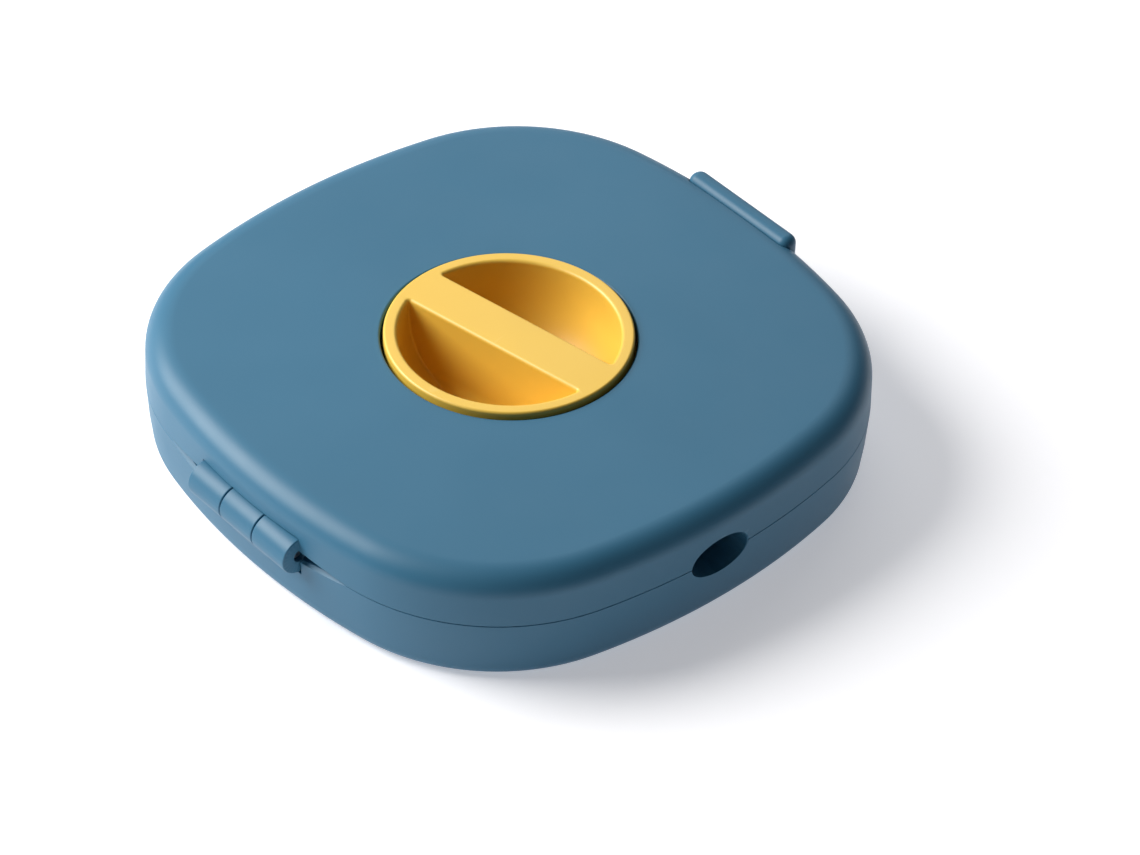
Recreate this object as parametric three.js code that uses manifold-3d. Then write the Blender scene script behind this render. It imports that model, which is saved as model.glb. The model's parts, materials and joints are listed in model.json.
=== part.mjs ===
// Hand-wound cable box: a hinged clamshell case with a reel inside. The reel's top is a knob that
// comes up through the lid, with a finger bar across two deep pockets. The cable leaves through two
// oval exits on the seam, on the -Y and +Y sides. The hinge is on the -X side, the latch on +X.
// Millimetres, +Z up. The origin is the centre of the underside of the base.
import * as THREE from "three";
import { mergeVertices } from "three/addons/utils/BufferGeometryUtils.js";
import Module from "manifold-3d";

// ---- driving dimensions ----
const SIDE = 95; // across the flats of the case, at the seam
const HEIGHT = 18.6; // underside of the base to top of the lid
const SEAM = 10.35; // height of the line between base and lid
const SIDE_RADIUS = 108.5; // each side bows out on this radius
const CORNER_RADIUS = 30.3; // and each corner turns on this one
const WALL = 1.8; // moulded wall of both shells
const GAP = 0.3; // between pieces that touch or run on each other
const SEAM_GAP = 0.3; // between the rims of base and lid

const LID_DRAFT = 0.026; // mm of taper per mm of height
const BASE_DRAFT = 0.062;
const LID_ROUND = { inward: 4.3, down: 3.6 }; // the soft top edge is a quarter ellipse
const BASE_ROUND = 2.4;

const KNOB_RADIUS = 18.05;
const KNOB_PROUD = 0.75; // how far the knob stands above the lid
const LID_HOLE_RADIUS = 18.5;
const RIM = 1.8; // wall of the knob round the finger pockets
const BAR_WIDTH = 7.2; // finger bar between the pockets
const POCKET_DEPTH = 13.8;
const REEL_REST_ANGLE = THREE.MathUtils.degToRad(10.7); // how the finger bar stands, from +Y

const EXIT = { x: -1.5, width: 10.3, height: 6.1 }; // oval cable exits, half in each shell
const HINGE = { x: -46.75, radius: 2.95, pin: 0.8, pinRecess: 0.6, bore: 1.1, length: 21.6 };
const LATCH = { y: 1.2, length: 21.8, lip: 2.1, top: 18.9, bottom: 3.6, thick: 1.3 };
const NOTCH = { inside: 44.45, corner: 1.8, wall: 1.8 }; // where the latch's head sits in the lid

// ---- derived dimensions ----
const HALF = SIDE / 2;
const KNUCKLE = HINGE.length / 3;
const KNOB_TOP = HEIGHT + KNOB_PROUD;
const FLOOR_TOP = WALL;
const SCREW_WELL = { radius: 5.2, depth: 2.1 }; // in the underside, for the axle screw's head
const BOSS = { radius: 7.2, top: 2.6 }; // the floor is raised over the well
const FLANGE = { radius: 40, bottom: BOSS.top + GAP, thick: 1.2 };
const FLANGE_TOP = FLANGE.bottom + FLANGE.thick;
const DRUM_BOTTOM = FLANGE_TOP + GAP;
const AXLE_RADIUS = 3.0;
const SCREW_SPACING = 19; // between the two screws that hold the flange on

// ---- closed solids and boolean joins ----
const wasm = await Module();
wasm.setup();

function solid(geometry) {
  const bare = geometry.clone();
  bare.deleteAttribute("normal");
  bare.deleteAttribute("uv");
  const merged = mergeVertices(bare, 1e-5);
  return new wasm.Manifold(new wasm.Mesh({
    numProp: 3,
    vertProperties: new Float32Array(merged.attributes.position.array),
    triVerts: new Uint32Array(merged.index.array),
  }));
}

function piece(name, body, material) {
  const { vertProperties, triVerts, numProp } = body.getMesh();
  const geometry = new THREE.BufferGeometry();
  const data = new THREE.InterleavedBuffer(new Float32Array(vertProperties), numProp);
  geometry.setAttribute("position", new THREE.InterleavedBufferAttribute(data, 3, 0));
  geometry.setIndex(new THREE.BufferAttribute(new Uint32Array(triVerts), 1));
  const mesh = new THREE.Mesh(geometry, material);
  mesh.name = name;
  return mesh;
}

function box(min, max) {
  const size = new THREE.Vector3().subVectors(max, min);
  const middle = new THREE.Vector3().addVectors(min, max).multiplyScalar(0.5);
  return solid(new THREE.BoxGeometry(size.x, size.y, size.z).translate(middle.x, middle.y, middle.z));
}

// An upright round bar between two heights.
function post(radius, bottom, top, segments = 40) {
  const geometry = new THREE.CylinderGeometry(radius, radius, top - bottom, segments);
  geometry.rotateX(Math.PI / 2);
  return solid(geometry.translate(0, 0, (bottom + top) / 2));
}

// A round bar along Y on the hinge axis.
function hingeBar(radius, y0, y1, segments = 24) {
  const geometry = new THREE.CylinderGeometry(radius, radius, y1 - y0, segments);
  return solid(geometry.translate(HINGE.x, (y0 + y1) / 2, SEAM));
}

// ---- the rounded square ----
// Each step round the outline lies on a side arc or a corner arc. An inset moves it towards the
// arc's centre, which keeps every wall the same thickness.
const SIDE_STEPS = 6;
const CORNER_STEPS = 8;
const sideCentre = SIDE_RADIUS - HALF;
const arcGap = SIDE_RADIUS - CORNER_RADIUS;
const cornerCentre = (Math.sqrt(2 * arcGap ** 2 - sideCentre ** 2) - sideCentre) / 2;
const sideAngle = Math.atan2(cornerCentre, cornerCentre + sideCentre);
const outline = [];
for (let quarter = 0; quarter < 4; quarter += 1) {
  const turn = quarter * Math.PI / 2;
  const spin = (x, y) => new THREE.Vector2(x, y).rotateAround(new THREE.Vector2(), turn);
  for (let step = 0; step < SIDE_STEPS; step += 1) {
    const angle = sideAngle * (2 * step / SIDE_STEPS - 1);
    const away = new THREE.Vector2(Math.cos(angle), Math.sin(angle));
    outline.push({ centre: spin(-sideCentre, 0), radius: SIDE_RADIUS, away: spin(away.x, away.y) });
  }
  for (let step = 0; step < CORNER_STEPS; step += 1) {
    const angle = sideAngle + (Math.PI / 2 - 2 * sideAngle) * step / CORNER_STEPS;
    const away = new THREE.Vector2(Math.cos(angle), Math.sin(angle));
    outline.push({
      centre: spin(cornerCentre, cornerCentre),
      radius: CORNER_RADIUS,
      away: spin(away.x, away.y),
    });
  }
}

// Sweeps a profile of (half width, height) points round the rounded square. It is a lathed solid
// whose rings are moved from circles onto the outline.
const INNERMOST = HALF - CORNER_RADIUS * 0.9;
function moulding(profile) {
  const geometry = new THREE.LatheGeometry(profile, outline.length);
  const position = geometry.attributes.position;
  for (let step = 0; step <= outline.length; step += 1) {
    const { centre, radius, away } = outline[step % outline.length];
    profile.forEach((point, row) => {
      const halfWidth = Math.max(point.x, INNERMOST);
      const place = away.clone().multiplyScalar(radius - (HALF - halfWidth)).add(centre);
      place.multiplyScalar(point.x / halfWidth);
      position.setXYZ(step * profile.length + row, place.x, place.y, point.y);
    });
  }
  return solid(geometry);
}

// Points of a quarter ellipse, from one end to the other.
function roundEdge(centreX, centreZ, radiusX, radiusZ, from, to, steps) {
  const curve = new THREE.EllipseCurve(centreX, centreZ, radiusX, radiusZ, from, to, to < from);
  return curve.getPoints(steps);
}

const at = (x, z) => new THREE.Vector2(x, z);
const baseWall = (z) => HALF - BASE_DRAFT * (SEAM - z);
const lidWall = (z) => HALF - LID_DRAFT * (z - SEAM);

// The outside of both shells grown by a clearance, for trimming what lies against it.
function caseEnvelope(grow) {
  return moulding([
    at(0, -grow),
    at(baseWall(0) + grow, -grow),
    at(HALF + grow, SEAM),
    at(lidWall(HEIGHT) + grow, HEIGHT + grow),
    at(0, HEIGHT + grow),
  ]);
}

// ---- shared cutters ----
function cableExits() {
  const oval = new THREE.CylinderGeometry(1, 1, SIDE + 10, 28);
  oval.scale(EXIT.width / 2, 1, EXIT.height / 2);
  return solid(oval.translate(EXIT.x, 0, SEAM));
}

// The hinge axis lies a little inside the bowed wall, so a V is cut along the seam behind it. The
// lid opens until the two faces of the V meet.
const RELIEF = { apex: HALF - 1.86, mouth: HALF + 1, slope: 0.8 };
function hingeRelief() {
  const rise = (RELIEF.mouth - RELIEF.apex) * RELIEF.slope;
  const wedge = new THREE.Shape([at(-RELIEF.apex, 0), at(-RELIEF.mouth, rise), at(-RELIEF.mouth, -rise)]);
  const length = 44;
  const geometry = new THREE.ExtrudeGeometry(wedge, { depth: length, bevelEnabled: false });
  geometry.rotateX(Math.PI / 2);
  return solid(geometry.translate(0, length / 2, SEAM));
}

// Slots past both ends of the barrel, half in each shell, through which the pin is pushed in.
const PIN_SLOT = { length: 4.4, height: 1.6, inside: -44.8 };
function pinSlots() {
  const start = HINGE.length / 2 + GAP;
  const slot = box(
    new THREE.Vector3(-HALF - 1, start, SEAM - PIN_SLOT.height / 2),
    new THREE.Vector3(PIN_SLOT.inside, start + PIN_SLOT.length, SEAM + PIN_SLOT.height / 2),
  );
  return slot.add(slot.mirror([0, 1, 0]));
}

// The wall behind the hinge is thicker, so that the relief and the knuckles don't break through.
const BACKING = { inside: -43.6, halfLength: 21, rise: 4.6 };
function hingeBacking(bottom, top) {
  return box(
    new THREE.Vector3(-HALF, -BACKING.halfLength, bottom),
    new THREE.Vector3(BACKING.inside, BACKING.halfLength, top),
  ).intersect(caseEnvelope(-WALL / 2));
}

const MIDDLE_KNUCKLE = KNUCKLE / 2 - GAP / 2;
const OUTER_KNUCKLE = { start: KNUCKLE / 2 + GAP / 2, end: HINGE.length / 2 };
const RUNNING_RADIUS = HINGE.radius + GAP;

// ---- materials ----
const moulded = (color) => new THREE.MeshStandardMaterial({ color, roughness: 0.5, metalness: 0 });
const steel = () => new THREE.MeshStandardMaterial({ color: 0xb8bcc0, roughness: 0.3, metalness: 1 });
const CASE_BLUE = 0x517d98;
const REEL_YELLOW = 0xf6c95a;

// ---- base ----
function baseShell() {
  const rim = SEAM - SEAM_GAP / 2;
  const inner = HALF - WALL;
  const innerFlat = inner - 0.4 - BASE_ROUND;
  let body = moulding([
    at(0, 0),
    ...roundEdge(baseWall(0) - BASE_ROUND, BASE_ROUND, BASE_ROUND, BASE_ROUND, -Math.PI / 2, 0, 4),
    at(baseWall(rim), rim),
    at(inner, rim),
    ...roundEdge(innerFlat, FLOOR_TOP + BASE_ROUND, BASE_ROUND, BASE_ROUND, 0, -Math.PI / 2, 3),
    at(0, FLOOR_TOP),
  ]);
  body = body.add(post(BOSS.radius, FLOOR_TOP / 2, BOSS.top));
  body = body.add(hingeBacking(FLOOR_TOP / 2, rim));
  body = body.add(notchWall(rim - WALL, rim));
  body = body.subtract(post(SCREW_WELL.radius, -1, SCREW_WELL.depth));
  body = body.subtract(post(AXLE_RADIUS + GAP, 0, BOSS.top + 1, 28));
  body = body.subtract(cableExits());
  body = body.subtract(hingeRelief());
  body = body.subtract(pinSlots());
  for (const sign of [-1, 1]) {
    const [near, far] = [OUTER_KNUCKLE.start - GAP, OUTER_KNUCKLE.end + GAP].map((y) => sign * y);
    body = body.subtract(hingeBar(RUNNING_RADIUS, Math.min(near, far), Math.max(near, far)));
  }
  body = body.add(hingeBar(HINGE.radius, -MIDDLE_KNUCKLE, MIDDLE_KNUCKLE));
  body = body.add(baseKnuckleWeb());
  return body.subtract(hingeBar(HINGE.bore, -HINGE.length, HINGE.length, 16));
}

// Carries the middle knuckle on the wall of the base. Its front slopes from the barrel down to the
// wall, and stays clear of the lid's wall when the lid is open.
function baseKnuckleWeb() {
  const slopeStart = THREE.MathUtils.degToRad(225);
  const foot = SEAM - HINGE.radius - 2.2;
  const web = new THREE.Shape([
    at(HINGE.x + HINGE.radius * Math.cos(slopeStart), SEAM + HINGE.radius * Math.sin(slopeStart)),
    at(-baseWall(foot) + 0.2, foot),
    at(HINGE.x + HINGE.radius, foot),
    at(HINGE.x + HINGE.radius, SEAM - SEAM_GAP / 2),
    at(HINGE.x, SEAM - SEAM_GAP / 2),
  ]);
  const geometry = new THREE.ExtrudeGeometry(web, { depth: 2 * MIDDLE_KNUCKLE, bevelEnabled: false });
  geometry.rotateX(Math.PI / 2);
  return solid(geometry.translate(0, MIDDLE_KNUCKLE, 0));
}

// ---- lid ----
const CATCH = { low: 15.2, high: 16.8, depth: 0.5, length: 17 }; // groove for the latch's nose
function lidShell() {
  const rim = SEAM + SEAM_GAP / 2;
  const inner = HALF - WALL;
  const ceiling = HEIGHT - WALL;
  const shoulder = HEIGHT - LID_ROUND.down;
  const flat = lidWall(shoulder) - LID_ROUND.inward;
  let body = moulding([
    at(0, ceiling),
    ...roundEdge(inner - 3.2, ceiling - 2.6, 3, 2.6, Math.PI / 2, 0, 3),
    at(inner, rim),
    at(lidWall(rim), rim),
    ...roundEdge(flat, shoulder, LID_ROUND.inward, LID_ROUND.down, 0, Math.PI / 2, 6),
    at(0, HEIGHT),
  ]);
  body = body.add(hingeBacking(rim, rim + BACKING.rise));
  body = body.add(notchWall(rim, ceiling - 0.9));
  body = body.add(notchWall(rim, ceiling + 0.3, NOTCH.inside + 0.55));
  body = body.subtract(headPlan(GAP, rim - 1, HEIGHT + 1));
  body = body.subtract(post(LID_HOLE_RADIUS, 0, HEIGHT + 1, 64));
  body = body.subtract(cableExits());
  body = body.subtract(hingeRelief());
  body = body.subtract(pinSlots());
  body = body.subtract(catchGroove());
  for (const sign of [-1, 1]) {
    const [near, far] = [OUTER_KNUCKLE.start, OUTER_KNUCKLE.end].map((y) => sign * y);
    body = body.add(hingeBar(HINGE.radius, Math.min(near, far), Math.max(near, far)));
    body = body.add(lidKnuckleWeb(Math.min(near, far), Math.max(near, far)));
  }
  body = body.subtract(hingeBar(RUNNING_RADIUS, -OUTER_KNUCKLE.start, OUTER_KNUCKLE.start));
  return body.subtract(hingeBar(HINGE.bore, -HINGE.length, HINGE.length, 16));
}

// Carries an outer knuckle on the wall of the lid, above the seam.
function lidKnuckleWeb(y0, y1) {
  return box(
    new THREE.Vector3(HINGE.x, y0, SEAM + SEAM_GAP / 2),
    new THREE.Vector3(HINGE.x + HINGE.radius, y1, SEAM + HINGE.radius),
  );
}

function catchGroove() {
  return box(
    new THREE.Vector3(NOTCH.inside - CATCH.depth, LATCH.y - CATCH.length / 2, CATCH.low),
    new THREE.Vector3(NOTCH.inside + 1, LATCH.y + CATCH.length / 2, CATCH.high),
  );
}

// Closes the case behind the notch: a wall in the lid, and a ledge in the base below it.
function notchWall(low, high, outside = HALF - WALL + 0.3) {
  const halfLength = LATCH.length / 2 + GAP + NOTCH.wall;
  return box(
    new THREE.Vector3(NOTCH.inside - NOTCH.wall, LATCH.y - halfLength, low),
    new THREE.Vector3(outside, LATCH.y + halfLength, high),
  );
}

// ---- latch ----
// A straight springy tongue that stands up from the base. Its head curls over the edge of the lid
// in a notch, and a nose on the head clicks into a groove at the back of the notch.
const HEAD = {
  inner: NOTCH.inside + GAP,
  outer: HALF + 0.45,
  bottom: 14.2,
  innerRound: 1.3,
  outerRound: 1.6,
};

// The latch's head seen from above, grown by a gap. With a gap it is the notch, open at the wall.
function headPlan(grow, low, high) {
  const corner = NOTCH.corner - GAP + grow;
  const [x0, x1] = [HEAD.inner - grow, grow > 0 ? HALF + 5 : HEAD.outer];
  const outerCorner = grow > 0 ? 0.01 : corner;
  const y0 = LATCH.y - LATCH.length / 2 - grow;
  const y1 = LATCH.y + LATCH.length / 2 + grow;
  const plan = new THREE.Shape();
  plan.absarc(x1 - outerCorner, y0 + outerCorner, outerCorner, -Math.PI / 2, 0);
  plan.absarc(x1 - outerCorner, y1 - outerCorner, outerCorner, 0, Math.PI / 2);
  plan.absarc(x0 + corner, y1 - corner, corner, Math.PI / 2, Math.PI);
  plan.absarc(x0 + corner, y0 + corner, corner, Math.PI, Math.PI * 1.5);
  const settings = { depth: high - low, bevelEnabled: false, curveSegments: 5 };
  return solid(new THREE.ExtrudeGeometry(plan, settings).translate(0, 0, low));
}

// A bar along the latch with a given (x, z) section.
function latchBar(section, length) {
  const settings = { depth: length, bevelEnabled: false };
  const geometry = new THREE.ExtrudeGeometry(new THREE.Shape(section), settings);
  geometry.rotateX(Math.PI / 2);
  return solid(geometry.translate(0, LATCH.y + length / 2, 0));
}

function latchTongue() {
  const inner = HALF + GAP;
  const root = HALF - 0.05;
  const outer = inner + LATCH.thick;
  const lip = HALF + LATCH.lip;
  const lipTop = HEAD.bottom - 1.9;
  const { innerRound: r, outerRound: R } = HEAD;
  const head = latchBar([
    at(inner, HEAD.bottom - 2),
    at(HEAD.outer, HEAD.bottom - 2),
    ...roundEdge(HEAD.outer - R, LATCH.top - R, R, R, 0, Math.PI / 2, 5),
    ...roundEdge(HEAD.inner + r, LATCH.top - r, r, r, Math.PI / 2, Math.PI, 4),
    at(HEAD.inner, HEAD.bottom),
  ], LATCH.length);
  const tongue = latchBar([
    at(root, LATCH.bottom),
    at(outer, LATCH.bottom),
    at(outer, lipTop - 1.3),
    at(lip, lipTop - 0.7),
    at(lip, lipTop),
    at(HEAD.outer, HEAD.bottom + 0.3),
    at(inner - 0.8, HEAD.bottom + 0.3),
    at(inner - 0.8, HEAD.bottom - 1),
    at(inner, HEAD.bottom - 1.6),
    at(inner, SEAM - 3),
    at(root, LATCH.bottom + 1.8),
  ], LATCH.length - 2.4);
  const noseTip = NOTCH.inside + 0.08;
  const nose = latchBar([
    at(HEAD.inner + 0.3, CATCH.low),
    at(HEAD.inner + 0.3, CATCH.high - 0.2),
    at(HEAD.inner, CATCH.high - 0.2),
    at(noseTip, CATCH.high - 0.6),
    at(noseTip, CATCH.low + 0.4),
    at(HEAD.inner, CATCH.low),
  ], CATCH.length - 1);
  return head.intersect(headPlan(0, 0, HEIGHT + 1)).add(tongue).add(nose);
}

// ---- reel ----
const pocketRadius = KNOB_RADIUS - RIM;
// The pockets keep their width near the top and close to a round bottom.
function pocketProfile() {
  const steps = 9;
  const power = 3;
  const profile = [];
  for (let step = 0; step <= steps; step += 1) {
    const angle = (step / steps) * Math.PI / 2;
    const across = Math.sin(angle) ** (2 / power);
    const down = Math.cos(angle) ** (2 / power);
    profile.push(at(pocketRadius * across, KNOB_TOP - POCKET_DEPTH * down));
  }
  profile.push(at(pocketRadius, KNOB_TOP + 1), at(0, KNOB_TOP + 1));
  return profile;
}

function lathe(profile, segments) {
  return solid(new THREE.LatheGeometry(profile, segments).rotateX(Math.PI / 2));
}

const CABLE_NOTCH = { width: 3.6, top: 12.4, inner: 12.8 };
const BORE_TOP = 10;
function reelDrum() {
  const edge = 0.35;
  let body = lathe([
    at(0, DRUM_BOTTOM),
    at(KNOB_RADIUS, DRUM_BOTTOM),
    at(KNOB_RADIUS, KNOB_TOP - edge),
    at(KNOB_RADIUS - edge, KNOB_TOP),
    at(0, KNOB_TOP),
  ], 64);
  const bar = box(
    new THREE.Vector3(-BAR_WIDTH / 2, -KNOB_RADIUS, 0),
    new THREE.Vector3(BAR_WIDTH / 2, KNOB_RADIUS, HEIGHT * 2),
  );
  body = body.subtract(lathe(pocketProfile(), 48).subtract(bar));
  body = body.add(post(AXLE_RADIUS, SCREW_WELL.depth, DRUM_BOTTOM + 1, 28));
  body = body.subtract(post(SCREW.shank + GAP, 0, BORE_TOP + GAP, 16));
  for (const sign of [-1, 1]) {
    const screwHole = post(SCREW.shank + GAP, 0, BORE_TOP - 2 + GAP, 16);
    body = body.subtract(screwHole.translate([0, sign * SCREW_SPACING / 2, 0]));
    const [near, far] = [sign * CABLE_NOTCH.inner, sign * HALF].sort((a, b) => a - b);
    body = body.subtract(box(
      new THREE.Vector3(-CABLE_NOTCH.width / 2, near, 0),
      new THREE.Vector3(CABLE_NOTCH.width / 2, far, CABLE_NOTCH.top),
    ));
  }
  return body;
}

// The disc under the drum that keeps the cable off the floor of the base.
const SCREW = { shank: 1.0, head: 1.75, headHigh: 0.9 };
function reelFlange() {
  const edge = 0.3;
  let body = lathe([
    at(0, FLANGE.bottom),
    at(FLANGE.radius - edge, FLANGE.bottom),
    at(FLANGE.radius, FLANGE.bottom + edge),
    at(FLANGE.radius, FLANGE_TOP - edge),
    at(FLANGE.radius - edge, FLANGE_TOP),
    at(0, FLANGE_TOP),
  ], 64);
  body = body.subtract(post(AXLE_RADIUS + GAP, 0, HEIGHT, 28));
  for (const sign of [-1, 1]) {
    const hole = post(SCREW.shank + GAP, 0, HEIGHT, 16);
    const counterbore = post(SCREW.head + GAP, 0, FLANGE.bottom + SCREW.headHigh - 0.4, 20);
    body = body.subtract(hole.add(counterbore).translate([0, sign * SCREW_SPACING / 2, 0]));
  }
  return body;
}

// ---- screws and washer ----
// A pan-head screw pointing up, with a cross recess in its head.
function screw(headRadius, headHigh, shankTop, headBottom) {
  const rounding = headHigh * 0.4;
  const shaft = lathe([
    at(0, headBottom),
    at(headRadius - rounding, headBottom),
    at(headRadius, headBottom + rounding),
    at(headRadius, headBottom + headHigh),
    at(SCREW.shank, headBottom + headHigh),
    at(SCREW.shank, shankTop - 0.8),
    at(0, shankTop),
  ], 16);
  const slotHalf = 0.28;
  const reach = headRadius * 0.62;
  const deep = headBottom + headHigh * 0.6;
  const across = box(new THREE.Vector3(-reach, -slotHalf, -1), new THREE.Vector3(reach, slotHalf, deep));
  const along = box(new THREE.Vector3(-slotHalf, -reach, -1), new THREE.Vector3(slotHalf, reach, deep));
  return shaft.subtract(across.add(along));
}

const AXLE_SCREW = { head: 2.6, headHigh: 0.9, bottom: 0.2 };
const WASHER = { inner: SCREW.shank + GAP, outer: 4.6, thick: 0.4 };
function axleWasher() {
  const bottom = AXLE_SCREW.bottom + AXLE_SCREW.headHigh + GAP;
  return post(WASHER.outer, bottom, bottom + WASHER.thick, 32).subtract(post(WASHER.inner, 0, 5, 20));
}

// ---- assembly ----
const group = new THREE.Group();
group.add(piece("base_shell", baseShell(), moulded(CASE_BLUE)));
group.add(piece("lid_shell", lidShell(), moulded(CASE_BLUE)));
const pinHalf = HINGE.length / 2 - HINGE.pinRecess;
group.add(piece("hinge_pin", hingeBar(HINGE.pin, -pinHalf, pinHalf, 16), steel()));
group.add(piece("latch_tongue", latchTongue(), moulded(CASE_BLUE)));

const reel = new THREE.Group();
reel.rotation.z = REEL_REST_ANGLE;
group.add(reel);
reel.add(piece("reel_drum", reelDrum(), moulded(REEL_YELLOW)));
reel.add(piece("reel_flange", reelFlange(), moulded(REEL_YELLOW)));
reel.add(piece("axle_washer", axleWasher(), steel()));
reel.add(piece(
  "axle_screw",
  screw(AXLE_SCREW.head, AXLE_SCREW.headHigh, BORE_TOP, AXLE_SCREW.bottom),
  steel(),
));
for (const [number, sign] of [[1, -1], [2, 1]]) {
  const shape = screw(SCREW.head, SCREW.headHigh, BORE_TOP - 2, FLANGE.bottom - 0.7);
  const mesh = piece(`reel_screw_${number}`, shape, steel());
  mesh.position.y = sign * SCREW_SPACING / 2;
  reel.add(mesh);
}

export default group;
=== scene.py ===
"""Looks for the hand-wound cable box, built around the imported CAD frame.

Lengths in this script are millimetres until a mesh is made, where MM turns them into metres.
"""
import json
import math

import bmesh
import bpy
import numpy as np
from mathutils import Matrix, Vector


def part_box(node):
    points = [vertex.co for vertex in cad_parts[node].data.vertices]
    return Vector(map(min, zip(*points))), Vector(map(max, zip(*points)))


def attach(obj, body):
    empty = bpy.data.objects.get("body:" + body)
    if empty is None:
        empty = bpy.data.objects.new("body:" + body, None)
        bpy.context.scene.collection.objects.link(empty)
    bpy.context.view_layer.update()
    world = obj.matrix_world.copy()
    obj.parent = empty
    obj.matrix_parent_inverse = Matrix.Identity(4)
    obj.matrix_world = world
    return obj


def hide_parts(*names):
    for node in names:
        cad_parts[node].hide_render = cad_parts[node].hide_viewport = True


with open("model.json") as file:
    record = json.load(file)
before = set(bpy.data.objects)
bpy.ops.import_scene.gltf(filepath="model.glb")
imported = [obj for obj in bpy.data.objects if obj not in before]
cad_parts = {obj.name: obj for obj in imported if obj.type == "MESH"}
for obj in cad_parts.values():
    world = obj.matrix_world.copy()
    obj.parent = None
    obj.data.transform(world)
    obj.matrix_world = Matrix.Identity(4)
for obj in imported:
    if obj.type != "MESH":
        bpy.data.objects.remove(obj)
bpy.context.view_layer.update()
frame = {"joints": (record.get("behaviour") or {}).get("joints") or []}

MM = 0.001


# ---- sizes ----
def cad(node):
    """Lowest and highest corner of a CAD node, in millimetres."""
    low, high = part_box(node)
    return low / MM, high / MM


joints = {joint["name"]: joint for joint in frame["joints"]}
HINGE_X = joints["lid_hinge"]["pos_m"][0] / MM
SEAM = joints["lid_hinge"]["pos_m"][2] / MM
HEIGHT = cad("lid_shell")[1].z
KNOB_TOP = cad("reel_drum")[1].z
DRUM_FOOT = cad("reel_flange")[1].z + 0.3
FLANGE_LOW, FLANGE_HIGH = cad("reel_flange")[0].z, cad("reel_flange")[1].z
FLANGE_RADIUS = cad("reel_flange")[1].x
PIN_END = cad("hinge_pin")[1].y
HINGE_RADIUS = HINGE_X - cad("lid_shell")[0].x
LATCH_LOW, LATCH_HIGH = cad("latch_tongue")
LATCH_Y = (LATCH_LOW.y + LATCH_HIGH.y) / 2
NOTCH_INSIDE = LATCH_LOW.x - 0.08
HEAD_INNER, HEAD_OUTER = NOTCH_INSIDE + 0.3, 47.95
HEAD_CORNER, HEAD_ROUND, HEAD_BOTTOM = 1.5, 1.42, 14.2
CATCH_LOW, CATCH_HIGH, CATCH_LENGTH = 15.2, 16.8, 17

HALF = 47.5
SIDE_RADIUS = 108.5
CORNER_RADIUS = 30.3
WALL = 1.8
GAP = 0.3
SEAM_GAP = 0.06
LID_DRAFT = 0.026
BASE_DRAFT = 0.062
LID_ROUND_IN, LID_ROUND_DOWN = 4.3, 3.6
BASE_ROUND = 2.4
KNOB_RADIUS = 18.05
LID_HOLE_RADIUS = 18.5
RIM = 1.8
BAR_WIDTH = 7.2
POCKET_DEPTH = 13.8
REST_ANGLE = math.radians(10.7)
EXIT_X, EXIT_WIDTH, EXIT_HEIGHT = -1.5, 10.3, 6.1
WELL_RADIUS, WELL_DEPTH = 5.2, 2.1
BOSS_RADIUS, BOSS_TOP = 7.2, 2.6
AXLE_RADIUS = 3.0
PILOT_RADIUS = 1.3
SCREW_OFFSET = 9.5

# The hinge barrel has three knuckles. KNUCKLE_REACH narrows the gaps between them a little.
BARREL_LENGTH = 21.6
KNUCKLE_REACH = 0.07
MIDDLE = BARREL_LENGTH / 6 - GAP / 2
OUTER_START, OUTER_END = BARREL_LENGTH / 6 + GAP / 2, BARREL_LENGTH / 2
RUNNING = HINGE_RADIUS + GAP
PIN_BORE = 1.0
BORE_END = BARREL_LENGTH / 2 + 0.15
RELIEF_DEPTH, RELIEF_REACH, RELIEF_END = 1.86, 2.4, 22

# Axes (u, v, w) of a prism: its outline is drawn in u and v, and it is extruded along w.
ALONG_X = ((0, 1, 0), (0, 0, 1), (1, 0, 0))
ALONG_Y = ((1, 0, 0), (0, 0, 1), (0, 1, 0))
ALONG_Z = ((1, 0, 0), (0, 1, 0), (0, 0, 1))


# ---- mesh helpers ----
def piece_from(name, vertices, faces):
    """A new object from millimetre points."""
    mesh = bpy.data.meshes.new(name)
    mesh.from_pydata([tuple(c * MM for c in v) for v in vertices], [], faces)
    mesh.validate()
    piece = bpy.data.objects.new(name, mesh)
    bpy.context.scene.collection.objects.link(piece)
    outward(piece)
    return piece


def outward(piece):
    """Turns every face to look out of the solid."""
    shape = bmesh.new()
    shape.from_mesh(piece.data)
    bmesh.ops.recalc_face_normals(shape, faces=shape.faces)
    shape.to_mesh(piece.data)
    shape.free()


def bake_modifiers(piece):
    """Puts the modified mesh in place of the piece's own."""
    graph = bpy.context.evaluated_depsgraph_get()
    mesh = bpy.data.meshes.new_from_object(piece.evaluated_get(graph))
    old = piece.data
    piece.modifiers.clear()
    piece.data = mesh
    bpy.data.meshes.remove(old)


def carve(piece, cutter, operation="DIFFERENCE"):
    """Cuts or joins another solid, which is used up."""
    modifier = piece.modifiers.new("carve", "BOOLEAN")
    modifier.operation = operation
    modifier.solver = "EXACT"
    modifier.object = cutter
    bake_modifiers(piece)
    bpy.data.objects.remove(cutter)


def soften(piece, width, segments=2):
    """Rounds the hard edges a little, as a moulding tool leaves them."""
    modifier = piece.modifiers.new("soften", "BEVEL")
    modifier.width = width * MM
    modifier.segments = segments
    modifier.limit_method = "ANGLE"
    modifier.angle_limit = math.radians(38)
    modifier.use_clamp_overlap = True
    modifier.miter_outer = "MITER_ARC"
    modifier.harden_normals = False
    bake_modifiers(piece)


def shade(piece):
    """Smooth shading that keeps the hard edges."""
    mesh = piece.data
    mesh.shade_smooth()
    mesh.set_sharp_from_angle(angle=math.radians(32))
    modifier = piece.modifiers.new("normals", "WEIGHTED_NORMAL")
    modifier.keep_sharp = True
    modifier.weight = 50
    bake_modifiers(piece)


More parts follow.
